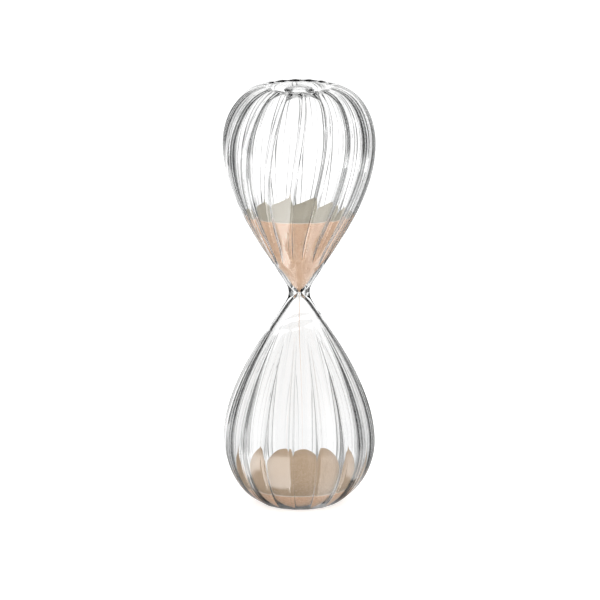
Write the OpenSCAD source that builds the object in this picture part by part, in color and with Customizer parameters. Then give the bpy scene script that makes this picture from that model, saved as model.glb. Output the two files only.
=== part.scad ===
// Frameless glass hourglass: two ribbed bulbs fused neck to neck by plain funnels,
// each closed by a glass wafer in the middle of the ring it can stand on.
// Millimetres, +Z up, origin in the middle of the plane that the foot ring stands on.

/* [Bulbs] */
// Largest outside radius of a bulb
bulb_r = 39.95; // [37:0.05:43]
// Height of the top ring above the orifice
upper_h = 111.1; // [106:0.1:116]
// Height of the orifice above the foot ring
lower_h = 113.9; // [108:0.1:120]
// Distance from the orifice to a bulb's widest point
belly_d = 80; // [76:0.5:83]
// Thickness of the glass
wall = 2; // [1.6:0.1:2.4]
// Roundness of the long side from the funnel to the belly
side_ease = 26.4; // [22:0.2:30]
// Roundness of the shoulder past the belly
shoulder_ease = 13; // [10:0.2:16]
// Slope of the upper shoulder where it meets its ring, in degrees
upper_tuck = 10; // [6:1:20]
// Slope of the lower shoulder where it meets its ring, in degrees
lower_tuck = 25; // [10:1:28]

/* [Ribs] */
// Number of ribs round a bulb
rib_count = 16; // [12:1:20]
// Angle that one rib covers, in degrees
rib_angle = 6; // [4:0.5:8]
// How far a rib stands out of the bulb
rib_rise = 0.45; // [0.2:0.05:0.7]
// Turn of the ribs from the front of the hourglass, in degrees
rib_phase = 6; // [0:0.5:22]

/* [End rings] */
// Radius of the middle of the ring a bulb stands on
ring_r = 19; // [17.5:0.1:20]
// Width of the ring's flat land
ring_flat = 1.4; // [1:0.1:1.8]
// Depth of the hollow inside the ring
dimple = 2.4; // [2:0.1:3.2]
// Radius of the wafer that closes the fill hole
seal_r = 8; // [6.5:0.1:9]
// Thickness of the wafer
seal_t = 1.8; // [1.2:0.1:1.9]
// Radius of the fill hole
fill_r = 4; // [3:0.1:5]

/* [Neck] */
// Outside radius of the waist
waist_r = 5.6; // [5.2:0.1:6.2]
// Outside radius of the collar's ends
collar_r = 6.7; // [6.5:0.1:7.4]
// Half the height of the collar
collar_d = 4.3; // [3.8:0.1:5]
// Radius of the collar's mouth inside
mouth_r = 4; // [3.4:0.1:4.4]
// Radius of the orifice
orifice_r = 0.9; // [0.7:0.05:1.2]
// Outside radius where a funnel meets its bulb
joint_r = 13.95; // [13.2:0.05:14.6]
// Distance from the orifice to that joint
joint_d = 15.8; // [15:0.1:17]

/* [Sand] */
// Height of the sand's rim above the orifice, in the upper bulb
upper_fill = 43.4; // [30:0.1:50]
// Depth of the hollow that the running sand makes
crater = 4.5; // [2:0.5:8]
// Distance from the orifice to the heap's lower edge
heap_edge = 103.4; // [100:0.1:106]
// Height of the heap above its edge
heap_rise = 15.6; // [12:0.1:20]
// Radius of the falling thread of sand
stream_r = 0.45; // [0.3:0.05:0.6]

/* [Hidden] */
$fn = 96;
side_lean = 32;         // slope of the glass at the joint, from the axis
side_lead = 13.6;       // length of the nearly straight start of the side
shoulder_lead = 15;     // length of the nearly straight end of the shoulder
side_steps = 14;        // chords in each half of a bulb's outline
dimple_steps = 6;
ring_lead = 1.2;         // length of the hollow's level start inside the ring
floor_lead = 7;         // length of the hollow's level end at its floor
floor_ledge = 0.6;      // width of the flat floor showing round a wafer
heap_steps = 8;
heap_crowd = 1.4;       // over 1 sets the heap's chords closer at its tip
heap_round = 0.2;       // share of the heap's radius that its rounded tip takes
waist_steps = 8;
orifice_d = 0.3;        // half the length of the orifice's straight part
rib_sink = 0.35;        // how far a rib's ends dive into the glass
rib_run = 0.16;         // share of the outline over which a rib rises
fit_gap = 0.06;         // room between the sand or a plug and the glass
tip_d = 0.6;            // height of the upper sand's tip above the orifice
seal_edge = 0.5;        // chamfer round a wafer
glass = [0.80, 0.87, 0.88, 0.35];
sand = [0.80, 0.68, 0.55];
ring_in = ring_r - ring_flat / 2;
ring_out = ring_r + ring_flat / 2;
floor_r = seal_r + floor_ledge;
joint_in = joint_r - wall / cos(side_lean);

// An outline is a list of points [radius, distance from the orifice].
function bezier(p, t) = pow(1 - t, 3) * p[0] + 3 * pow(1 - t, 2) * t * p[1]
    + 3 * (1 - t) * t * t * p[2] + t * t * t * p[3];
function heading(p, t) = let (v = pow(1 - t, 2) * (p[1] - p[0])
    + 2 * (1 - t) * t * (p[2] - p[1]) + t * t * (p[3] - p[2])) v / norm(v);
function outward(p, t) = let (v = heading(p, t)) [v[1], -v[0]];

// The two curves of a bulb's side: joint to belly, and belly to ring.
function side(h, tuck) = let (belly = [bulb_r, belly_d], start = [joint_r, joint_d],
    end = [ring_out, h])
    [[start, start + side_lead * [sin(side_lean), cos(side_lean)],
      belly - [0, side_ease], belly],
     [belly, belly + [0, shoulder_ease],
      end + shoulder_lead * [cos(tuck), -sin(tuck)], end]];

// How far a rib's back stands out of the glass at a step of a side's curve.
function rib_height(half, t) = let (left = half == 0 ? t : 1 - t)
    -rib_sink + (rib_sink + rib_rise) * min(1, left / rib_run);

// Points along a side, moved outward by a distance and, for a rib's back, its height.
function along(s, out, is_rib = false) = [for (half = [0, 1], i = [1:side_steps])
    let (t = i / side_steps, d = out + (is_rib ? rib_height(half, t) : 0))
    bezier(s[half], t) + d * outward(s[half], t)];

// The hollow inside the ring, from the ring's inner edge to the flat floor.
function hollow(h, back) = [for (i = [0:dimple_steps])
    bezier([[ring_in, h], [ring_in - ring_lead, h], [floor_r + floor_lead, h - dimple],
            [floor_r, h - dimple]], i / dimple_steps) - [0, back]];

// The glass's inner face from the joint to the ring.
function inside(s) = concat([[joint_in, joint_d]], along(s, -wall));

function reverse(list) = [for (i = [len(list) - 1:-1:0]) list[i]];
function swap(list) = [for (p = list) [p[1], p[0]]];

// Points of a list between two distances from the orifice, with its ends cut there.
function between(list, low, high) = let (r = swap(list)) concat(
    [[lookup(low, r), low]], [for (p = list) if (p[1] > low && p[1] < high) p],
    [[lookup(high, r), high]]);
function inset(list) = [for (p = list) p - [fit_gap, 0]];

// The collar's bore and the funnel's inner face, from the orifice to the joint.
function throat() = [[orifice_r, orifice_d], [mouth_r, collar_d], [joint_in, joint_d]];

module upward() translate([0, 0, lower_h]) rotate_extrude() children();
module downward() translate([0, 0, lower_h]) mirror([0, 0, 1]) rotate_extrude() children();

module bulb_outline(h, tuck) {
    s = side(h, tuck);
    polygon(concat([[joint_r, joint_d]], along(s, 0), hollow(h, 0),
        [[fill_r, h - dimple], [fill_r, h - dimple - wall]],
        reverse(hollow(h, wall)), reverse(inside(s))));
}

module ribs(h, tuck) {
    s = side(h, tuck);
    for (i = [0:rib_count - 1])
        rotate([0, 0, rib_phase - rib_angle / 2 + i * 360 / rib_count])
            rotate_extrude(angle = rib_angle)
                polygon(concat(along(s, 0, true), reverse(along(s, -wall / 2))));
}

module upper_bulb() color(glass) {
    upward() bulb_outline(upper_h, upper_tuck);
    translate([0, 0, lower_h]) ribs(upper_h, upper_tuck);
}

module lower_bulb() color(glass) {
    downward() bulb_outline(lower_h, lower_tuck);
    translate([0, 0, lower_h]) mirror([0, 0, 1]) ribs(lower_h, lower_tuck);
}

module funnel_outline() polygon([[mouth_r, collar_d], [collar_r, collar_d],
    [joint_r, joint_d], [joint_in, joint_d]]);
module upper_cone() color(glass) upward() funnel_outline();
module lower_cone() color(glass) downward() funnel_outline();

// The collar's outside is an arc whose waist is level with the orifice.
module neck_collar() {
    bulge = collar_r - waist_r;
    arc = (collar_d * collar_d + bulge * bulge) / (2 * bulge);
    outer = [for (i = [-waist_steps:waist_steps]) let (d = i * collar_d / waist_steps)
        [waist_r + arc - sqrt(arc * arc - d * d), d]];
    color(glass) upward() polygon(concat(outer, [[mouth_r, collar_d],
        [orifice_r, orifice_d], [orifice_r, -orifice_d], [mouth_r, -collar_d]]));
}

// A chamfered wafer on the hollow's floor, with a plug down the fill hole.
module seal_outline(h) {
    floor_d = h - dimple;
    polygon([[0, floor_d - wall], [fill_r - fit_gap, floor_d - wall],
        [fill_r - fit_gap, floor_d], [seal_r, floor_d],
        [seal_r, floor_d + seal_t - seal_edge],
        [seal_r - seal_edge, floor_d + seal_t], [0, floor_d + seal_t]]);
}
module upper_end_seal() color(glass) upward() seal_outline(upper_h);
module lower_end_seal() color(glass) downward() seal_outline(lower_h);

// Sand fills the funnel, with a shallow hollow where it is running away.
module upper_sand() {
    glass_face = concat(throat(), inside(side(upper_h, upper_tuck)));
    color(sand) upward() polygon(concat([[0, tip_d]],
        inset(between(glass_face, tip_d, upper_fill)), [[0, upper_fill - crater]]));
}

// The heap stands on the bulb's closed end and on the plug in its middle.
module lower_sand() {
    s = side(lower_h, lower_tuck);
    wall_face = [for (p = inside(s)) if (p[1] > heap_edge) p - [fit_gap, fit_gap]];
    edge_r = lookup(heap_edge, swap(inside(s))) - fit_gap;
    rim = sqrt(heap_round * heap_round + 1) - heap_round;
    slope = [for (i = [1:heap_steps]) let (u = pow(i / heap_steps, heap_crowd))
        [u * edge_r, heap_edge - heap_rise
         * (1 - (sqrt(heap_round * heap_round + u * u) - heap_round) / rim)]];
    color(sand) downward() polygon(concat([[0, heap_edge - heap_rise]], slope, wall_face,
        hollow(lower_h, wall + fit_gap), [[0, lower_h - dimple - wall - fit_gap]]));
}

module sand_stream() color(sand)
    translate([0, 0, lower_h - heap_edge + heap_rise])
        cylinder(r = stream_r, h = heap_edge - heap_rise + tip_d);

upper_bulb();
lower_bulb();
upper_cone();
lower_cone();
neck_collar();
upper_end_seal();
lower_end_seal();
upper_sand();
lower_sand();
sand_stream();
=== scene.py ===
"""Frameless hourglass: two ribbed glass bulbs fused at a narrow waist, with sand running through it."""

import math

import bmesh
import bpy
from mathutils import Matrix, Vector
from mathutils.geometry import interpolate_bezier


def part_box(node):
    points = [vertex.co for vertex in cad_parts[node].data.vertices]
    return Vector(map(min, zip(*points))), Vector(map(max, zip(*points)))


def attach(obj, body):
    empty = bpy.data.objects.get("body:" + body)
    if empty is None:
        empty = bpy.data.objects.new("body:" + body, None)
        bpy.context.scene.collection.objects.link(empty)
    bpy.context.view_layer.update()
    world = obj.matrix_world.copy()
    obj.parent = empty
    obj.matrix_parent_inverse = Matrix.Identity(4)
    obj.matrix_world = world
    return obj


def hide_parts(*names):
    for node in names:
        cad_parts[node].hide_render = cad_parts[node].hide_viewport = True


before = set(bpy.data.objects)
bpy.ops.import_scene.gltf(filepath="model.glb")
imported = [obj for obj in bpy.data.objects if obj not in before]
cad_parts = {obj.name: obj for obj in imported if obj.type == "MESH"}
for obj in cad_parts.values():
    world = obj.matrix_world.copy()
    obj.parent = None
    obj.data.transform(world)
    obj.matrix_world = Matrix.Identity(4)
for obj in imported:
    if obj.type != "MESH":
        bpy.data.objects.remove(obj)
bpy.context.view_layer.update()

bl_info = {
    "name": "Ribbed Glass Hourglass",
    "version": (1, 0, 0),
    "blender": (4, 5, 0),
    "location": "View3D > Sidebar > Hourglass",
    "description": "Builds a frameless ribbed glass hourglass with running sand",
    "category": "Object",
}

MM = 0.001
TINY = 0.001 * MM
BODY = "root"


def half_width(node):
    low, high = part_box(node)
    return (high.x - low.x) / 2


def low_z(node):
    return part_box(node)[0].z


def high_z(node):
    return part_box(node)[1].z


# Places that the solids fix, in metres. A D is a distance from the orifice, up or down.
TOP = high_z("upper_bulb")
WAIST = (low_z("neck_collar") + high_z("neck_collar")) / 2
COLLAR_D = high_z("neck_collar") - WAIST
COLLAR_R = half_width("neck_collar")
JOINT_D = high_z("upper_cone") - WAIST
JOINT_R = half_width("upper_cone")
BELLY_R = half_width("upper_bulb")
SEAL_R = half_width("upper_end_seal")
SAND_TOP = high_z("upper_sand") - WAIST
SAND_TIP = low_z("upper_sand") - WAIST
HEAP_TOP = WAIST - high_z("lower_sand")

# Columns across half a panel, as shares of the ribs' pitch: closest on the flank of a rib's crest.
COLUMNS = (0, 0.03, 0.05, 0.07, 0.09, 0.13, 0.2, 0.29, 0.39, 0.5)
FLUTE_STEPS = 2 * (len(COLUMNS) - 1)
# Rows along each stretch of the glass and the sand.
COLLAR_ROWS = 8
CONE_ROWS = (0.12, 0.25, 0.38, 0.52, 0.66, 0.8, 0.87, 0.91, 0.95, 1)
SEAM_ROWS = (0.5 * MM, 1 * MM, 1.6 * MM)
SIDE_ROWS = 28
THROAT_ROWS = 6
OUTER_HOLLOW_ROWS = 12
INNER_HOLLOW_ROWS = 8
WAFER_RIM_ROWS = 10
CRATER_ROWS = 24
HEAP_ROWS = 40

# The glass.
ORIFICE_D = 0.3 * MM        # half the straight part of the orifice
SEAM_REACH = 1.1 * MM       # half width of a weld line
SEAM_CLEAR = 2 * MM         # from the joint to the first row of a bulb's own side
TILT_REACH = 5 * MM         # how far along the glass the lower weld line's slant is felt
EASED_REACH = 5 * MM        # how far past the joint the corners of the outline are eased
WALL_RUN = 12 * MM          # stretch over which the upper funnel's wall thickens to the bulb's
HOLLOW_LEAD = 1.2 * MM      # nearly level start of a hollow at its ring
HOLLOW_FALL = 0.1 * MM      # how far it falls over that start
FLOOR_LEAD = 6 * MM         # level end of a hollow at its floor
FLOOR_LEDGE = 0.6 * MM      # flat floor that shows round a wafer
HOLE_BEVEL = 0.3 * MM

# The ribs.
RING_RIB = 0.8              # share of a panel's depth that the ring's outer edge keeps
HOLLOW_RIB = 0.55           # share that its inner edge keeps
HOLLOW_RIB_END = 1.6        # over 1 ends the ribs before the hollow's floor
UPPER_FADE = (12 * MM, 16 * MM, 0.5)    # run in which panels deepen, run to the ring, share left there
LOWER_FADE = (55 * MM, 24 * MM, 0.12)
RIDGE_LAG = 3 * MM          # how much later than the panels the lower ridges start
RIDGE_RUN = 9 * MM
RIDGE_STOP = 1 * MM         # how far short of the ring a ridge stops
RIDGE_END_RUN = 6 * MM

# The wafers.
PLUG_GAP = 0.06 * MM        # room between the plug and its hole
PLUG_BEVEL = 0.4 * MM
WAFER_LIFT = 0.05 * MM      # room between a wafer and the hollow's floor
WAFER_SHARE = 0.6           # height of the slumped wafer, as a share of its solid's
RIM_TUCK = 0.5 * MM         # how far the rim's underside draws in
RIM_SLUMP = 2.4 * MM        # width of the rounded rim
RIM_EDGE = 0.1              # share of the height at which the rounding starts
WAFER_DISH = ((0.4, 0.98), (0, 0.96))   # shares of its radius and height in the dished middle

# The sand.
GAP_RUN = 4 * MM            # stretch past the joint over which its gap to the glass changes
RIM_D = 0.4 * MM            # from its sharp rim to the row below
RIM_CLEAR = 0.5 * MM        # from the rim to the nearest row of the glass's own
RIM_IN = 0.015              # how far in the row next to the rim is, as a share of the radius
RIM_FALL = 0.2 * MM         # how far the sand drops at once inside the rim
RIM_FALL_WIDTH = 1 / 8      # share of the radius over which it does
HEAP_FLOOR = 7 * MM         # how far below its front edge the heap's bank no longer shows
BANK_POWER = 1.3            # over 1 keeps more of the heap's edge low at the front
HEAP_RIB_FROM = 2 / 3       # share of the radius past which the heap's edge follows the ribs
THREAD_SPREAD = 4           # how many times wider the thread is at its top

# Bearing round +Z from +X, half width, and half width with the soft edge, in degrees, and level.
BACKDROPS = ((90, 14, 28, 1), (180, 10, 28, 1), (315, 10, 30, 1))
FLOOR_GLOW = ((90, 18, 28, 1), (137, 9, 18, 1), (180, 5, 12, 1), (315, 12, 32, 1))
SOFT_BOXES = ((212, 32, 40, 6), (352, 36, 42, 2.8))
# Levels between and on those panels.
BACKDROP_LEVELS = (0.05, 1.35)
FLOOR_LEVELS = (0.3, 1.08)
# How the light changes with height: from and to, as sines of the angle above level, and the levels there.
HEIGHTS = {
    "beam_top": (0.22, 0.6, 1.0, 0.18),
    "beam_foot": (-0.5, -0.2, 0.2, 1.0),
    "box_foot": (-0.92, -0.86, 0.0, 1.0),
    "box_top": (-0.35, -0.15, 1.0, 0.0),
    "dome": (-0.1, 0.9, 1.95, 0.9),
}
# How the floor's glow changes with the distance from the foot: from and to, and the levels there.
FOOT_SHADE = (0.02, 0.045, 0.5, 1.0)
# Light's steps through the glass before a ray is given up.
BOUNCES = 24

# The grains from the darkest to the palest, with their places in a blend, and their colours: the first set is
# the sand's own colour, on faces not turned up; the other two are painted shade, greyer and duller, on faces
# turned up.
SHADES = {"dark": 0, "mid": 0.35, "light": 0.7, "pale": 1}
SAND_COLOURS = {
    "packed": ("#CCA284", "#E1BA9B", "#ECCAAE", "#FAE8D7"),
    "settled": ("#B8AF9B", "#CCC4B1", "#D8D0BF", "#EFE9DE"),
    "poured": ("#B99C7F", "#CBAF91", "#D8BEA3", "#EFDDCA"),
}


def linear(hexcode):
    """sRGB hex to linear RGBA."""
    out = []
    for i in (1, 3, 5):
        c = int(hexcode[i:i + 2], 16) / 255
        out.append(c / 12.92 if c <= 0.04045 else ((c + 0.055) / 1.055) ** 2.4)
    return (*out, 1.0)


# ---------------------------------------------------------------- properties


class GlassSizes(bpy.types.PropertyGroup):
    """Sizes and tint of the blown glass."""

    wall: bpy.props.FloatProperty(
        name="Wall", description="Thickness of the glass",
        default=2 * MM, min=1.2 * MM, max=3 * MM, unit="LENGTH")
    belly: bpy.props.FloatProperty(
        name="Belly distance", description="From the orifice to a bulb's widest point",
        default=80 * MM, unit="LENGTH")
    side_ease: bpy.props.FloatProperty(
        name="Side ease", description="Roundness of the long side from the joint to the belly",
        default=26.4 * MM, unit="LENGTH")
    shoulder_ease: bpy.props.FloatProperty(
        name="Shoulder ease", description="Roundness of the shoulder past the belly",
        default=13 * MM, unit="LENGTH")
    lead: bpy.props.FloatProperty(
        name="Lead", description="Length of a curve's nearly straight end",
        default=14.3 * MM, unit="LENGTH")
    lean: bpy.props.FloatProperty(
        name="Lean", description="Slope of the glass at the joint, from the axis",
        default=math.radians(32), subtype="ANGLE")
    upper_tuck: bpy.props.FloatProperty(
        name="Upper tuck", description="Slope of the upper shoulder at its ring",
        default=math.radians(10), subtype="ANGLE")
    lower_tuck: bpy.props.FloatProperty(
        name="Lower tuck", description="Slope of the lower shoulder at its ring",
        default=math.radians(25), subtype="ANGLE")
    ring: bpy.props.FloatProperty(
        name="Ring radius", description="Middle of the ring a bulb stands on",
        default=19 * MM, unit="LENGTH")
    ring_land: bpy.props.FloatProperty(
        name="Ring land", description="Width of the ring's land",
        default=1.4 * MM, unit="LENGTH")
    hollow: bpy.props.FloatProperty(
        name="Hollow depth", description="Depth of the hollow inside a ring",
        default=2.4 * MM, unit="LENGTH")
    fill_hole: bpy.props.FloatProperty(
        name="Fill hole", description="Radius of the hole that a wafer closes",
        default=4 * MM, unit="LENGTH")
    waist: bpy.props.FloatProperty(
        name="Waist radius", description="Outside radius at the waist",
        default=5.6 * MM, unit="LENGTH")
    mouth: bpy.props.FloatProperty(
        name="Mouth radius", description="Radius of the collar's bore at its ends",
        default=4 * MM, unit="LENGTH")
    orifice: bpy.props.FloatProperty(
        name="Orifice radius", description="Radius of the hole the sand runs through",
        default=0.9 * MM, unit="LENGTH")
    seam: bpy.props.FloatProperty(
        name="Seam height", description="Height of the weld line between funnel and bulb",
        default=0.16 * MM, unit="LENGTH")
    seam_tilt: bpy.props.FloatProperty(
        name="Seam tilt", description="How far the lower weld line dips on one side and rises on the other",
        default=3.2 * MM, unit="LENGTH")
    thin_wall: bpy.props.FloatProperty(
        name="Upper funnel wall", description="Thickness of the drawn-out glass of the upper funnel",
        default=1.4 * MM, unit="LENGTH")
    wave: bpy.props.FloatProperty(
        name="Wave", description="Spacing of the faint waves in the blown surface",
        default=11.11 * MM, unit="LENGTH")
    tint: bpy.props.FloatVectorProperty(
        name="Tint", description="Colour of light that has crossed much glass",
        default=linear("#D3DAD8"), size=4, min=0, max=1, subtype="COLOR")


class RibSizes(bpy.types.PropertyGroup):
    """Sizes of the ribs that the mould leaves."""

    count: bpy.props.IntProperty(
        name="Ribs", description="Ribs round a bulb",
        default=16, min=8, max=32)
    depth: bpy.props.FloatProperty(
        name="Panel depth", description="How far a panel's middle lies below its ribs",
        default=0.85 * MM, unit="LENGTH")
    swell: bpy.props.FloatProperty(
        name="Rib swell", description="How far a rib swells into the bulb",
        default=0.85 * MM, unit="LENGTH")
    roundness: bpy.props.FloatProperty(
        name="Rib roundness", description="How soft a rib's crest is, as a share of half a panel",
        default=0.1, subtype="FACTOR")
    ridge: bpy.props.FloatProperty(
        name="Ridge", description="Height of the low flat ridge along a rib's crest",
        default=0.12 * MM, unit="LENGTH")
    ridge_width: bpy.props.FloatProperty(
        name="Ridge width", description="Half width of that ridge's foot, as a share of the ribs' pitch",
        default=0.09, subtype="FACTOR")
    upper_start: bpy.props.FloatProperty(
        name="Upper start", description="From the orifice to where the upper ribs begin",
        default=16 * MM, unit="LENGTH")
    lower_start: bpy.props.FloatProperty(
        name="Lower start", description="From the orifice to where the lower ribs begin",
        default=15 * MM, unit="LENGTH")
    upper_turn: bpy.props.FloatProperty(
        name="Upper turn", description="Angle of a rib from the front at the upper ring",
        default=math.radians(6.3), subtype="ANGLE")
    upper_swirl: bpy.props.FloatProperty(
        name="Upper swirl", description="Turn of the upper ribs from the ring to the joint",
        default=math.radians(-22), subtype="ANGLE")
    lower_turn: bpy.props.FloatProperty(
        name="Lower turn", description="Angle of a lower rib from the front",
        default=math.radians(-6.5), subtype="ANGLE")


class SandSizes(bpy.types.PropertyGroup):
    """Sizes of the sand, and the colour of the pale line along its upper edge."""

    crater: bpy.props.FloatProperty(
        name="Crater", description="Depth of the hollow that the running sand makes",
        default=4.5 * MM, unit="LENGTH")
    heap_edge: bpy.props.FloatProperty(
        name="Heap edge", description="From the orifice to the heap's lowest edge, at the front",
        default=103.4 * MM, unit="LENGTH")
    heap_bank: bpy.props.FloatProperty(
        name="Heap bank", description="How much higher the heap's edge is at the back",
        default=9.5 * MM, unit="LENGTH")
    heap_round: bpy.props.FloatProperty(
        name="Heap round", description="Share of the heap that its rounded tip takes",
        default=0.25, subtype="FACTOR")
    loose_gap: bpy.props.FloatProperty(
        name="Loose gap", description="Room between the sand and the funnel",
        default=0.1 * MM, unit="LENGTH")
    packed_gap: bpy.props.FloatProperty(
        name="Packed gap", description="Room between the sand and a ribbed bulb",
        default=0.06 * MM, unit="LENGTH")
    stream: bpy.props.FloatProperty(
        name="Stream radius", description="Radius of the falling thread at the heap",
        default=0.04 * MM, unit="LENGTH")
    grain: bpy.props.FloatProperty(
        name="Grain", description="Size of the grains, coarser than real ones so that they show",
        default=0.45 * MM, unit="LENGTH")
    drift: bpy.props.FloatProperty(
        name="Drift", description="Size of the paler and darker drifts in the sand",
        default=14.29 * MM, unit="LENGTH")
    # A pale colour laid along the sand's upper edge, where it meets the glass.
    rim: bpy.props.FloatVectorProperty(
        name="Pale edge", description="Colour of the dust along the sand's upper edge",
        default=linear("#FBF1E6"), size=4, min=0, max=1, subtype="COLOR")


class SandColours(bpy.types.PropertyGroup):
    """Colours of the grains: the sand's own colour on faces not turned up, and painted shade on the faces
    turned up in the upper bulb and on the heap.
    """

    __annotations__ = {
        f"{kind}_{shade}": bpy.props.FloatVectorProperty(
            name=f"{kind} {shade}".capitalize(), description=f"Colour of the {shade} grains of {kind} sand",
            default=linear(hexcode), size=4, min=0, max=1, subtype="COLOR")
        for kind, hexcodes in SAND_COLOURS.items() for shade, hexcode in zip(SHADES, hexcodes)}


class StudioSizes(bpy.types.PropertyGroup):
    """Camera and floor."""

    elevation: bpy.props.FloatProperty(
        name="Elevation", description="Camera's angle above level",
        default=math.radians(12.3), subtype="ANGLE")
    distance: bpy.props.FloatProperty(
        name="Distance", description="Camera's distance",
        default=3.53, unit="LENGTH")
    lens: bpy.props.FloatProperty(
        name="Lens", description="Focal length of the camera's lens",
        default=400, unit="CAMERA")
    aim_right: bpy.props.FloatProperty(
        name="Aim to the right", description="How far right of the axis the camera is aimed",
        default=0.45 * MM, unit="LENGTH")
    aim_drop: bpy.props.FloatProperty(
        name="Aim below the waist", description="How far below the waist the camera is aimed",
        default=4.35 * MM, unit="LENGTH")
    floor: bpy.props.FloatProperty(
        name="Floor radius", description="Radius of the pale floor",
        default=0.5, unit="LENGTH")
    floor_colour: bpy.props.FloatVectorProperty(
        name="Floor colour", description="Colour of the opal sheet",
        default=linear("#F6F6F5"), size=4, min=0, max=1, subtype="COLOR")


# ------------------------------------------------------------------ helpers


def sizes():
    scene = bpy.context.scene
    return scene.hourglass_glass, scene.hourglass_ribs, scene.hourglass_sand


def ease(x):
    x = min(1.0, max(0.0, x))
    return x * x * (3 - 2 * x)


def mix(a, b, t):
    return a + (b - a) * t


class Row:
    """One ring of an outline: radius, distance from the orifice, outward direction, rib strength, and how
    much of the pale edge colour it takes.
    """

    def __init__(self, r, d, nr=1.0, nd=0.0, rib=0.0, dust=0.0):
        self.r, self.d, self.nr, self.nd, self.rib, self.dust = r, d, nr, nd, rib, dust

    def moved(self, out):
        return Row(self.r + out * self.nr, self.d + out * self.nd, self.nr, self.nd, self.rib)


def curve_rows(points, count):
    """Rows along a cubic curve given by four (radius, distance) points, without its first."""
    vectors = interpolate_bezier(*[Vector((p[0], p[1], 0)) for p in points], count + 1)
    rows = []
    for i in range(1, count + 1):
        ahead = vectors[min(i + 1, count)] - vectors[i - 1]
        ahead.normalize()
        rows.append(Row(vectors[i].x, vectors[i].y, ahead.y, -ahead.x))
    return rows


def side_rows(h, tuck):
    """The outside of a bulb from its joint to its ring."""
    g = bpy.context.scene.hourglass_glass
    start = (JOINT_R, JOINT_D)
    belly = (BELLY_R, g.belly)
    end = (g.ring + g.ring_land / 2, h)
    after_start = (start[0] + g.lead * math.sin(g.lean), start[1] + g.lead * math.cos(g.lean))
    before_end = (end[0] + g.lead * math.cos(tuck), end[1] - g.lead * math.sin(tuck))
    rows = curve_rows([start, after_start, (belly[0], belly[1] - g.side_ease), belly], SIDE_ROWS)
    rows += curve_rows([belly, (belly[0], belly[1] + g.shoulder_ease), before_end, end], SIDE_ROWS)
    for row in rows:
        row.rib = 1
    return rows


def hollow_rows(h, back, count):
    """The hollow inside a ring, from the ring's land to its flat floor."""
    g = bpy.context.scene.hourglass_glass
    edge, floor, depth = g.ring - g.ring_land / 2, SEAL_R + FLOOR_LEDGE, h - g.hollow
    curve = [(edge, h), (edge - HOLLOW_LEAD, h - HOLLOW_FALL), (floor + FLOOR_LEAD, depth), (floor, depth)]
    rows = [Row(edge, h)] + curve_rows(curve, count)
    for i, row in enumerate(rows):
        row.nr, row.nd = 0, 1
        row.d -= back
        row.rib = HOLLOW_RIB * (1 - ease(i / count * HOLLOW_RIB_END))
    return rows


def outer_rows(h, tuck):
    """The outside of half the hourglass from its waist to the fill hole."""
    g = bpy.context.scene.hourglass_glass
    bulge = COLLAR_R - g.waist
    arc = (COLLAR_D ** 2 + bulge ** 2) / (2 * bulge)
    out = (math.cos(g.lean), -math.sin(g.lean))
    rows = []
    for i in range(1, COLLAR_ROWS + 1):
        d = COLLAR_D * i / COLLAR_ROWS
        rows.append(Row(g.waist + arc - math.sqrt(arc * arc - d * d), d))
    for t in CONE_ROWS:
        rows.append(Row(mix(COLLAR_R, JOINT_R, t), mix(COLLAR_D, JOINT_D, t), *out))
    for step in SEAM_ROWS:
        rows.append(Row(JOINT_R + step * math.tan(g.lean), JOINT_D + step, *out))
    rows += [row for row in side_rows(h, tuck) if row.d > JOINT_D + SEAM_CLEAR]
    for row in rows:
        bead = math.exp(-((row.d - JOINT_D) / SEAM_REACH) ** 2) * g.seam
        row.r += bead * row.nr
        row.d += bead * row.nd
    rows[-1].rib = RING_RIB
    rows += hollow_rows(h, 0, OUTER_HOLLOW_ROWS)
    rows.append(Row(g.fill_hole + HOLE_BEVEL, h - g.hollow, 0, 1))
    rows.append(Row(g.fill_hole, h - g.hollow - HOLE_BEVEL, 0, 1))
    return rows


def inner_rows(h, tuck):
    """The inside of half the hourglass from its orifice to the fill hole."""
    g, ribs, _ = sizes()
    sign = 1 if tuck == g.upper_tuck else -1
    thin = g.thin_wall if sign > 0 else g.wall
    joint_in = JOINT_R - thin / math.cos(g.lean)
    knots = [(g.orifice, ORIFICE_D), (g.mouth, COLLAR_D), (joint_in, JOINT_D)]
    rows = [Row(g.orifice, ORIFICE_D)]
    for (r0, d0), (r1, d1) in zip(knots, knots[1:]):
        for i in range(1, THROAT_ROWS + 1):
            t = i / THROAT_ROWS
            rows.append(Row(mix(r0, r1, t), mix(d0, d1, t), math.cos(g.lean), -math.sin(g.lean)))
    for row in side_rows(h, tuck):
        wall = mix(thin, g.wall, ease((row.d - JOINT_D) / WALL_RUN))
        rows.append(row.moved(-wall - ribs.swell * rib_start(sign * row.d)))
    for row in rows:
        row.rib *= -ribs.swell / ribs.depth
    back = hollow_rows(h, g.wall, INNER_HOLLOW_ROWS)
    for row in back:
        row.rib = 0
    return rows + back + [Row(g.fill_hole, h - g.hollow - g.wall, 0, 1)]


def row_at(rows, d):
    """The row of an outline at a distance from the orifice."""
    for a, b in zip(rows, rows[1:]):
        if a.d <= d <= b.d and b.d > a.d:
            t = (d - a.d) / (b.d - a.d)
            return Row(mix(a.r, b.r, t), d, mix(a.nr, b.nr, t), mix(a.nd, b.nd, t), mix(a.rib, b.rib, t))
    raise ValueError(f"the outline has no row at {d}")


def sand_face(h, tuck):
    """Where sand lies against the glass: loose in the funnel, packed against it in the ribbed bulb."""
    s = bpy.context.scene.hourglass_sand
    return [row.moved(-mix(s.loose_gap, s.packed_gap, ease((row.d - JOINT_D) / GAP_RUN)))
            for row in inner_rows(h, tuck)]


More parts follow.
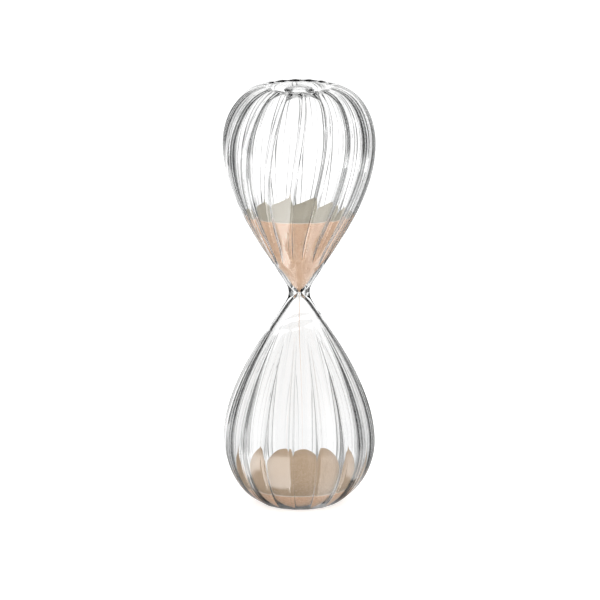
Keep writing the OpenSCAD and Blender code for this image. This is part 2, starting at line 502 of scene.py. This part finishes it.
def rib_start(d):
    """How much of a panel there is at a height above the orifice, or below it if less than 0."""
    ribs = bpy.context.scene.hourglass_ribs
    if d > 0:
        start, end, (run, end_run, end_share) = ribs.upper_start, TOP - WAIST, UPPER_FADE
    else:
        start, end, (run, end_run, end_share) = ribs.lower_start, WAIST, LOWER_FADE
    return ease((abs(d) - start) / run) * mix(end_share, 1, ease((end - abs(d)) / end_run))


def ridge_start(d):
    """How much there is of the fine ridge along a rib, which is whole sooner than the lower panels."""
    ribs = bpy.context.scene.hourglass_ribs
    start, end = (ribs.upper_start, TOP - WAIST) if d > 0 else (ribs.lower_start + RIDGE_LAG, WAIST)
    return ease((abs(d) - start) / RIDGE_RUN) * ease((end - abs(d) - RIDGE_STOP) / RIDGE_END_RUN)


def rib_turn(z):
    """Angle of the ribs from the front at a height."""
    ribs = bpy.context.scene.hourglass_ribs
    if z < WAIST:
        return ribs.lower_turn
    return ribs.upper_turn + ribs.upper_swirl * min(1, (TOP - z) / (TOP - WAIST - JOINT_D))


def sink(t, d):
    """How far the glass lies below a rib's crest, at a share of the pitch from the crest and a height."""
    ribs = bpy.context.scene.hourglass_ribs
    e = ribs.roundness
    u = (math.sqrt(4 * t * t + e * e) - e) / (math.sqrt(1 + e * e) - e)
    ridge = ease((ribs.ridge_width - abs(t)) / (0.5 * ribs.ridge_width))
    return ribs.depth * (1 - (1 - u) ** 2) * rib_start(d) - ribs.ridge * ridge * ridge_start(d)


def lathe(name, rows, closed=False, eased=0, shape=None):
    """Spins rows given as (row, z, z direction) round the axis, then sinks the panels between the ribs."""
    count = bpy.context.scene.hourglass_ribs.count
    steps = count * FLUTE_STEPS
    bm = bmesh.new()
    sink_r = bm.verts.layers.float.new("sink_r")
    sink_z = bm.verts.layers.float.new("sink_z")
    dust = bm.verts.layers.float.new("dust")
    chain = []
    for row, z, sign in rows:
        v = bm.verts.new((row.r, 0, z))
        v[sink_r] = row.nr * row.rib
        v[sink_z] = row.nd * sign * row.rib
        v[dust] = row.dust
        chain.append(v)
    edges = [bm.edges.new(pair) for pair in zip(chain, chain[1:])]
    if closed:
        edges.append(bm.edges.new((chain[-1], chain[0])))
    near = [v for v in chain if abs(v.co.z - WAIST) < JOINT_D + EASED_REACH]
    for _ in range(eased):
        bmesh.ops.smooth_vert(bm, verts=near, factor=0.5, use_axis_x=True, use_axis_z=True)
    turned = {"cent": (0, 0, 0), "axis": (0, 0, 1)}
    bmesh.ops.spin(bm, geom=chain + edges, angle=math.tau / count, steps=FLUTE_STEPS, **turned)
    sector = bm.verts[:] + bm.edges[:] + bm.faces[:]
    bmesh.ops.spin(
        bm, geom=sector, angle=math.tau * (1 - 1 / count), steps=count - 1, use_duplicate=True, **turned)
    bmesh.ops.remove_doubles(bm, verts=bm.verts, dist=TINY)
    for v in bm.verts:
        r, z = math.hypot(v.co.x, v.co.y), v.co.z
        if r < TINY:
            continue
        k, column = divmod(round(math.atan2(v.co.y, v.co.x) / math.tau * steps) % steps, FLUTE_STEPS)
        if column < len(COLUMNS):
            t = COLUMNS[column]
        else:
            k, t = k + 1, -COLUMNS[FLUTE_STEPS - column]
        depth = sink(t, z - WAIST)
        angle = (k + t) * math.tau / count + rib_turn(z)
        out_r, out_z = v[sink_r], v[sink_z]
        if shape:
            r, z, out_r, out_z = shape(r, z, angle, out_r, out_z)
        r -= depth * out_r
        v.co = (r * math.sin(angle), -r * math.cos(angle), z - depth * out_z)
    bmesh.ops.recalc_face_normals(bm, faces=bm.faces)
    for layer in ("sink_r", "sink_z"):
        bm.verts.layers.float.remove(bm.verts.layers.float[layer])
    return finish_piece(name, bm)


def finish_piece(name, bm):
    for face in bm.faces:
        face.smooth = True
    mesh = bpy.data.meshes.new(name)
    bm.to_mesh(mesh)
    bm.free()
    piece = bpy.data.objects.new(name, mesh)
    bpy.context.scene.collection.objects.link(piece)
    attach(piece, BODY)
    return piece


def node(tree, kind, inputs=(), **settings):
    """Adds a node with its settings, and gives its inputs values or links from other nodes' outputs."""
    made = tree.nodes.new(kind)
    for name, value in settings.items():
        setattr(made, name, value)
    for socket, value in dict(inputs).items():
        if isinstance(value, bpy.types.NodeSocket):
            tree.links.new(value, made.inputs[socket])
        else:
            made.inputs[socket].default_value = value
    return made


def panels(tree, x, y, places, levels):
    """Bright panels that stand round the hourglass at the given places, dim between them."""
    bearing = node(tree, "ShaderNodeMath", {0: y, 1: x}, operation="ARCTAN2")
    turn = node(tree, "ShaderNodeMath", {0: bearing.outputs[0], 1: 1 / math.tau}, operation="MULTIPLY")
    part = node(tree, "ShaderNodeMath", {0: turn.outputs[0]}, operation="FRACT")
    spot = node(tree, "ShaderNodeValToRGB", {"Fac": part.outputs[0]})
    spot.color_ramp.interpolation = "EASE"
    stops = []
    for bearing, flat, soft, level in places:
        stops += [(bearing - soft, 0), (bearing - flat, level), (bearing + flat, level), (bearing + soft, 0)]
    elements = spot.color_ramp.elements
    elements.remove(elements[1])
    for at, level in stops:
        elements.new(at % 360 / 360).color = (level, level, level, 1)
    elements.remove(elements[0])
    dim, bright = levels
    spread = {0: spot.outputs[0], 1: bright - dim, 2: dim}
    return node(tree, "ShaderNodeMath", spread, operation="MULTIPLY_ADD").outputs[0]


def new_material(name):
    material = bpy.data.materials.new(name)
    material.use_nodes = True
    material.node_tree.nodes.clear()
    return material, material.node_tree


# ---------------------------------------------------------------- materials


def blown_glass():
    """Borosilicate glass blown in a mould: clear, fire-polished, faintly wavy, grey-green where thick."""
    g = bpy.context.scene.hourglass_glass
    material, tree = new_material("borosilicate_blown_glass")
    place = node(tree, "ShaderNodeTexCoord").outputs["Object"]
    wave = node(tree, "ShaderNodeTexNoise", {"Vector": place, "Scale": 1 / g.wave, "Detail": 1})
    bump = node(tree, "ShaderNodeBump", {
        "Height": wave.outputs["Fac"], "Strength": 0.12, "Distance": 0.4 * MM})
    shader = node(tree, "ShaderNodeBsdfPrincipled", {
        "Normal": bump.outputs["Normal"], "Base Color": (1, 1, 1, 1), "Roughness": 0, "IOR": 1.47,
        "Transmission Weight": 1})
    body = node(tree, "ShaderNodeVolumeAbsorption", {"Color": g.tint, "Density": 18})
    node(tree, "ShaderNodeOutputMaterial", {"Surface": shader.outputs[0], "Volume": body.outputs[0]})
    return material


def fine_sand(name, shaded_top_kind):
    """Fine dry quartz sand: matt grains, warm pink tan on faces not turned up, and duller and greyer on faces
    turned up, where the colour is painted shade.
    """
    scene = bpy.context.scene
    sand = scene.hourglass_sand
    material, tree = new_material(name)
    place = node(tree, "ShaderNodeTexCoord").outputs["Object"]
    grain = node(tree, "ShaderNodeTexVoronoi", {"Vector": place, "Scale": 1 / sand.grain})
    each = node(tree, "ShaderNodeSeparateColor", {"Color": grain.outputs["Color"]})
    drift = node(tree, "ShaderNodeTexNoise", {"Vector": place, "Scale": 1 / sand.drift, "Detail": 3})
    drifts = node(tree, "ShaderNodeMath", {0: drift.outputs["Fac"], 1: 0.3}, operation="MULTIPLY")
    tones = {0: each.outputs[0], 1: 0.7, 2: drifts.outputs[0]}
    tone = node(tree, "ShaderNodeMath", tones, operation="MULTIPLY_ADD")
    colours = []
    for kind in ("packed", shaded_top_kind):
        blend = node(tree, "ShaderNodeValToRGB", {"Fac": tone.outputs[0]})
        elements = blend.color_ramp.elements
        for shade, at in SHADES.items():
            stop = elements[0] if at == 0 else elements[-1] if at == 1 else elements.new(at)
            stop.color = getattr(scene.hourglass_colours, f"{kind}_{shade}")
        colours.append(blend.outputs[0])
    # Faces turned up take the second set of colours: painted shade, greyer and duller than the sand's own
    # colour on the other faces.
    normal = node(tree, "ShaderNodeNewGeometry").outputs["Normal"]
    facing = node(tree, "ShaderNodeSeparateXYZ", {"Vector": normal})
    top_shade = node(tree, "ShaderNodeMapRange", {
        "Value": facing.outputs["Z"], "From Min": 0.5, "From Max": 0.8}, interpolation_type="SMOOTHSTEP")
    both = node(tree, "ShaderNodeMix", {
        "Factor": top_shade.outputs[0], 6: colours[0], 7: colours[1]}, data_type="RGBA")
    # Mixes the sand's upper edge towards a pale colour.
    dust = node(tree, "ShaderNodeAttribute", attribute_name="dust")
    pale = node(tree, "ShaderNodeMix", {
        "Factor": dust.outputs["Fac"], 6: both.outputs[2], 7: sand.rim}, data_type="RGBA")
    bump = node(tree, "ShaderNodeBump", {
        "Height": grain.outputs["Distance"], "Strength": 0.5, "Distance": 0.2 * MM}, invert=True)
    shader = node(tree, "ShaderNodeBsdfPrincipled", {
        "Base Color": pale.outputs[2], "Normal": bump.outputs["Normal"], "Roughness": 0.95,
        "Specular IOR Level": 0.2})
    node(tree, "ShaderNodeOutputMaterial", {"Surface": shader.outputs[0]})
    return material


def light_table():
    """Opal acrylic sheet lit from below: matt, white, and with hardly any shadow on it."""
    material, tree = new_material("opal_acrylic_sheet")
    sheet = node(tree, "ShaderNodeBsdfPrincipled", {
        "Base Color": bpy.context.scene.hourglass_studio.floor_colour, "Roughness": 0.9,
        "Specular IOR Level": 0.1, "Emission Color": (1, 1, 1, 1), "Emission Strength": 0.5})
    place = node(tree, "ShaderNodeTexCoord").outputs["Object"]
    x, y, _ = node(tree, "ShaderNodeSeparateXYZ", {"Vector": place}).outputs
    reach = node(tree, "ShaderNodeVectorMath", {"Vector": place}, operation="LENGTH").outputs["Value"]
    low, high, at_low, at_high = FOOT_SHADE
    shade = node(tree, "ShaderNodeMapRange", {
        "Value": reach, "From Min": low, "From Max": high, "To Min": at_low, "To Max": at_high},
        interpolation_type="SMOOTHSTEP")
    lit = {0: panels(tree, x, y, FLOOR_GLOW, FLOOR_LEVELS), 1: shade.outputs[0]}
    level = node(tree, "ShaderNodeMath", lit, operation="MULTIPLY")
    glow = node(tree, "ShaderNodeEmission", {"Strength": level.outputs[0]})
    light = node(tree, "ShaderNodeLightPath").outputs
    plain = node(tree, "ShaderNodeMath", {
        0: light["Is Camera Ray"], 1: light["Diffuse Depth"]}, operation="MAXIMUM")
    both = node(tree, "ShaderNodeMixShader", {0: plain.outputs[0], 1: glow.outputs[0], 2: sheet.outputs[0]})
    node(tree, "ShaderNodeOutputMaterial", {"Surface": both.outputs[0]})
    return material


# ---------------------------------------------------------------- operators


class HOURGLASS_OT_envelope(bpy.types.Operator):
    """Blows the bulbs, funnels and neck as one body of glass"""

    bl_idname = "hourglass.envelope"
    bl_label = "Glass Envelope"

    def execute(self, context):
        g = context.scene.hourglass_glass
        up, down = (TOP - WAIST, g.upper_tuck), (WAIST, g.lower_tuck)
        loop = [(row, WAIST - row.d, -1) for row in reversed(outer_rows(*down))]
        loop.append((Row(g.waist, 0), WAIST, 1))
        loop += [(row, WAIST + row.d, 1) for row in outer_rows(*up)]
        loop += [(row, WAIST + row.d, 1) for row in reversed(inner_rows(*up))]
        loop += [(row, WAIST - row.d, -1) for row in inner_rows(*down)]

        def tilted(r, z, angle, out_r, out_z):
            """Slides the glass by the lower weld line along the funnel, so that the line lies aslant."""
            slide = 0
            if z < WAIST:
                near = math.exp(-((WAIST - z - JOINT_D) / TILT_REACH) ** 2)
                slide = -g.seam_tilt * math.sin(angle) * near
            return r + slide * math.tan(g.lean), z - slide, out_r, out_z

        glass = lathe("glass_envelope", loop, closed=True, eased=2, shape=tilted)
        glass.data.materials.append(blown_glass())
        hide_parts("upper_bulb", "lower_bulb", "upper_cone", "lower_cone", "neck_collar")
        return {"FINISHED"}


class HOURGLASS_OT_seals(bpy.types.Operator):
    """Fuses a glass wafer over the fill hole in each end"""

    bl_idname = "hourglass.seals"
    bl_label = "End Seals"

    def execute(self, context):
        g = context.scene.hourglass_glass
        material = bpy.data.materials.get("borosilicate_blown_glass") or blown_glass()
        plug = g.fill_hole - PLUG_GAP
        for name, h, sign in (("upper_end_seal", TOP - WAIST, 1), ("lower_end_seal", WAIST, -1)):
            base = h - g.hollow + WAFER_LIFT
            thick = WAFER_SHARE * (high_z(name) - low_z(name) - g.wall)
            rows = [Row(0, base - g.wall), Row(plug - PLUG_BEVEL, base - g.wall)]
            rows += [Row(plug, base - g.wall + PLUG_BEVEL), Row(plug, base), Row(SEAL_R - RIM_TUCK, base)]
            for i in range(WAFER_RIM_ROWS + 1):
                a = math.pi / 2 * i / WAFER_RIM_ROWS
                rise = mix(RIM_EDGE, 1, math.sin(a))
                rows.append(Row(SEAL_R - RIM_SLUMP * (1 - math.cos(a)), base + thick * rise))
            rows += [Row(SEAL_R * across, base + thick * up) for across, up in WAFER_DISH]
            seal = lathe(name + "_wafer", [(row, WAIST + sign * row.d, sign) for row in rows])
            seal.data.materials.append(material)
            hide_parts(name)
        return {"FINISHED"}


class HOURGLASS_OT_sand(bpy.types.Operator):
    """Fills both bulbs with sand and lets a thread of it fall"""

    bl_idname = "hourglass.sand"
    bl_label = "Sand"

    def execute(self, context):
        # In both sands the faces turned up are coloured with painted shade.
        settled = fine_sand("settled_fine_sand", "settled")
        poured = fine_sand("poured_fine_sand", "poured")
        for piece, cad, material in (
                (self.fill(), "upper_sand", settled), (self.heap(), "lower_sand", poured),
                (self.thread(), "sand_stream", poured)):
            piece.data.materials.append(material)
            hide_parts(cad)
        return {"FINISHED"}

    def fill(self):
        g, _, s = sizes()
        face = sand_face(TOP - WAIST, g.upper_tuck)
        rim = row_at(face, SAND_TOP)
        # The upper sand's edge takes the pale colour in full.
        rim.dust = 1
        rows = [Row(0, SAND_TIP), row_at(face, SAND_TIP)]
        rows += [row for row in face if SAND_TIP < row.d < SAND_TOP - RIM_CLEAR]
        rows += [row_at(face, SAND_TOP - RIM_D), rim]
        for i in range(CRATER_ROWS + 1):
            t = i / CRATER_ROWS or RIM_IN
            fall = s.crater * ease(t) + RIM_FALL * ease(t / RIM_FALL_WIDTH)
            rows.append(Row(rim.r * (1 - t), SAND_TOP - fall, rim.nr, 0, rim.rib * (1 - t)))
        return lathe("upper_sand_fill", [(row, WAIST + row.d, 1) for row in rows])

    def heap(self):
        g, _, s = sizes()
        face = sand_face(WAIST, g.lower_tuck)
        edge = row_at(face, s.heap_edge)
        # The heap's edge takes the pale colour in full.
        edge.dust = 1
        shares = [i / HEAP_ROWS for i in range(HEAP_ROWS)] + [1 - RIM_IN]
        rows = [Row(edge.r * u, mix(HEAP_TOP, s.heap_edge, u), edge.nr, 0, edge.rib * u) for u in shares]
        rows += [edge, row_at(face, s.heap_edge + RIM_D)]
        hole_r = g.fill_hole + RIM_CLEAR
        rows += [row for row in face if row.d > s.heap_edge + RIM_CLEAR and row.r > hole_r]
        rows.append(Row(0, WAIST - g.hollow - g.wall - s.loose_gap))
        full = math.sqrt(s.heap_round ** 2 + 1) - s.heap_round
        floor = s.heap_edge + HEAP_FLOOR

        def banked(r, z, angle, out_r, out_z):
            """Moves a point of the level heap to its place in the one that is banked up at the back."""
            d = WAIST - z
            rim_d = s.heap_edge - s.heap_bank * ((1 - math.cos(angle)) / 2) ** BANK_POWER
            if d > s.heap_edge + TINY:
                if d < floor and r > SEAL_R * 2:
                    row = row_at(face, mix(rim_d, floor, (d - s.heap_edge) / (floor - s.heap_edge)))
                    return row.r, WAIST - row.d, row.nr * row.rib, -row.nd * row.rib
                return r, z, out_r, out_z
            rim = row_at(face, rim_d)
            u = r / edge.r
            fall = (math.sqrt(s.heap_round ** 2 + u * u) - s.heap_round) / full
            out = rim.rib * ease((u - HEAP_RIB_FROM) / (1 - HEAP_RIB_FROM))
            return rim.r * u, WAIST - mix(HEAP_TOP, rim_d, fall), rim.nr * out, -rim.nd * out

        return lathe("lower_sand_heap", [(row, WAIST - row.d, -1) for row in rows], shape=banked)

    def thread(self):
        s = bpy.context.scene.hourglass_sand
        bm = bmesh.new()
        low, high = low_z("sand_stream"), high_z("sand_stream")
        bmesh.ops.create_cone(
            bm, cap_ends=True, segments=16, radius1=s.stream, radius2=THREAD_SPREAD * s.stream,
            depth=high - low)
        bmesh.ops.translate(bm, verts=bm.verts, vec=(0, 0, (low + high) / 2))
        return finish_piece("falling_sand", bm)


class HOURGLASS_OT_stage(bpy.types.Operator):
    """Lays the pale floor and sets the studio light and the camera"""

    bl_idname = "hourglass.stage"
    bl_label = "Stage"

    def execute(self, context):
        studio = context.scene.hourglass_studio
        bm = bmesh.new()
        bmesh.ops.create_circle(bm, cap_ends=True, segments=96, radius=studio.floor)
        mesh = bpy.data.meshes.new("studio_floor")
        bm.to_mesh(mesh)
        bm.free()
        mesh.materials.append(light_table())
        floor = bpy.data.objects.new("studio_floor", mesh)
        context.scene.collection.objects.link(floor)
        floor.visible_glossy = False
        self.set_world(context.scene)
        self.set_camera(context.scene, studio)
        context.scene.view_settings.view_transform = "Standard"
        context.scene.cycles.max_bounces = BOUNCES
        context.scene.cycles.transmission_bounces = BOUNCES
        return {"FINISHED"}

    def set_world(self, scene):
        """Beams and soft boxes that only glass shows, and a plain dome that lights the rest."""
        world = bpy.data.worlds.new("soft_studio")
        scene.world = world
        world.use_nodes = True
        tree = world.node_tree
        tree.nodes.clear()
        place = node(tree, "ShaderNodeTexCoord").outputs["Generated"]
        x, y, z = node(tree, "ShaderNodeSeparateXYZ", {"Vector": place}).outputs
        light = node(tree, "ShaderNodeLightPath").outputs
        at = {}
        for name, (low, high, at_low, at_high) in HEIGHTS.items():
            at[name] = node(tree, "ShaderNodeMapRange", {
                "Value": z, "From Min": low, "From Max": high, "To Min": at_low, "To Max": at_high},
                interpolation_type="SMOOTHSTEP").outputs[0]
        beam = panels(tree, x, y, BACKDROPS, BACKDROP_LEVELS)
        for factor in (at["beam_top"], at["beam_foot"]):
            beam = node(tree, "ShaderNodeMath", {0: beam, 1: factor}, operation="MULTIPLY").outputs[0]
        box = panels(tree, x, y, SOFT_BOXES, (0, 1))
        for factor in (at["box_foot"], at["box_top"]):
            box = node(tree, "ShaderNodeMath", {0: box, 1: factor}, operation="MULTIPLY").outputs[0]
        glass = node(tree, "ShaderNodeMath", {
            0: box, 1: light["Is Glossy Ray"], 2: beam}, operation="MULTIPLY_ADD")
        plain = node(tree, "ShaderNodeMath", {0: light["Diffuse Depth"], 1: 1}, operation="MINIMUM")
        both = node(tree, "ShaderNodeMix", {"Factor": plain.outputs[0], 2: glass.outputs[0], 3: at["dome"]})
        seen = node(tree, "ShaderNodeMath", {
            0: both.outputs[0], 1: light["Is Camera Ray"]}, operation="MAXIMUM")
        back = node(tree, "ShaderNodeBackground", {"Strength": seen.outputs[0], "Color": (1, 1, 1, 1)})
        node(tree, "ShaderNodeOutputWorld", {"Surface": back.outputs[0]})

    def set_camera(self, scene, studio):
        data = bpy.data.cameras.new("camera")
        data.lens, data.sensor_width = studio.lens, 36
        data.clip_start, data.clip_end = 0.01, 50
        camera = bpy.data.objects.new("camera", data)
        scene.collection.objects.link(camera)
        back = Vector((0, -math.cos(studio.elevation), math.sin(studio.elevation)))
        aim = Vector((studio.aim_right, 0, WAIST - studio.aim_drop))
        camera.location = aim + back * studio.distance
        camera.rotation_euler = (-back).to_track_quat("-Z", "Y").to_euler()
        scene.camera = camera


class HOURGLASS_PT_sidebar(bpy.types.Panel):
    """Lists the hourglass's pieces, sizes and colours"""

    bl_label = "Ribbed Glass Hourglass"
    bl_idname = "HOURGLASS_PT_sidebar"
    bl_space_type = "VIEW_3D"
    bl_region_type = "UI"
    bl_category = "Hourglass"

    def draw(self, context):
        for group in GROUPS:
            holder = getattr(context.scene, group)
            box = self.layout.box()
            for name in holder.__annotations__:
                box.prop(holder, name)
        for operator in OPERATORS:
            self.layout.operator(operator.bl_idname)


OPERATORS = (HOURGLASS_OT_envelope, HOURGLASS_OT_seals, HOURGLASS_OT_sand, HOURGLASS_OT_stage)
GROUPS = {
    "hourglass_glass": GlassSizes,
    "hourglass_ribs": RibSizes,
    "hourglass_sand": SandSizes,
    "hourglass_colours": SandColours,
    "hourglass_studio": StudioSizes,
}


def register():
    for name, group in GROUPS.items():
        bpy.utils.register_class(group)
        setattr(bpy.types.Scene, name, bpy.props.PointerProperty(type=group))
    for made in (*OPERATORS, HOURGLASS_PT_sidebar):
        bpy.utils.register_class(made)


def unregister():
    for made in (HOURGLASS_PT_sidebar, *reversed(OPERATORS)):
        bpy.utils.unregister_class(made)
    for name, group in GROUPS.items():
        delattr(bpy.types.Scene, name)
        bpy.utils.unregister_class(group)


def main():
    register()
    bpy.ops.hourglass.envelope()
    bpy.ops.hourglass.seals()
    bpy.ops.hourglass.sand()
    bpy.ops.hourglass.stage()
    bpy.context.view_layer.update()


if __name__ == "__main__":
    main()
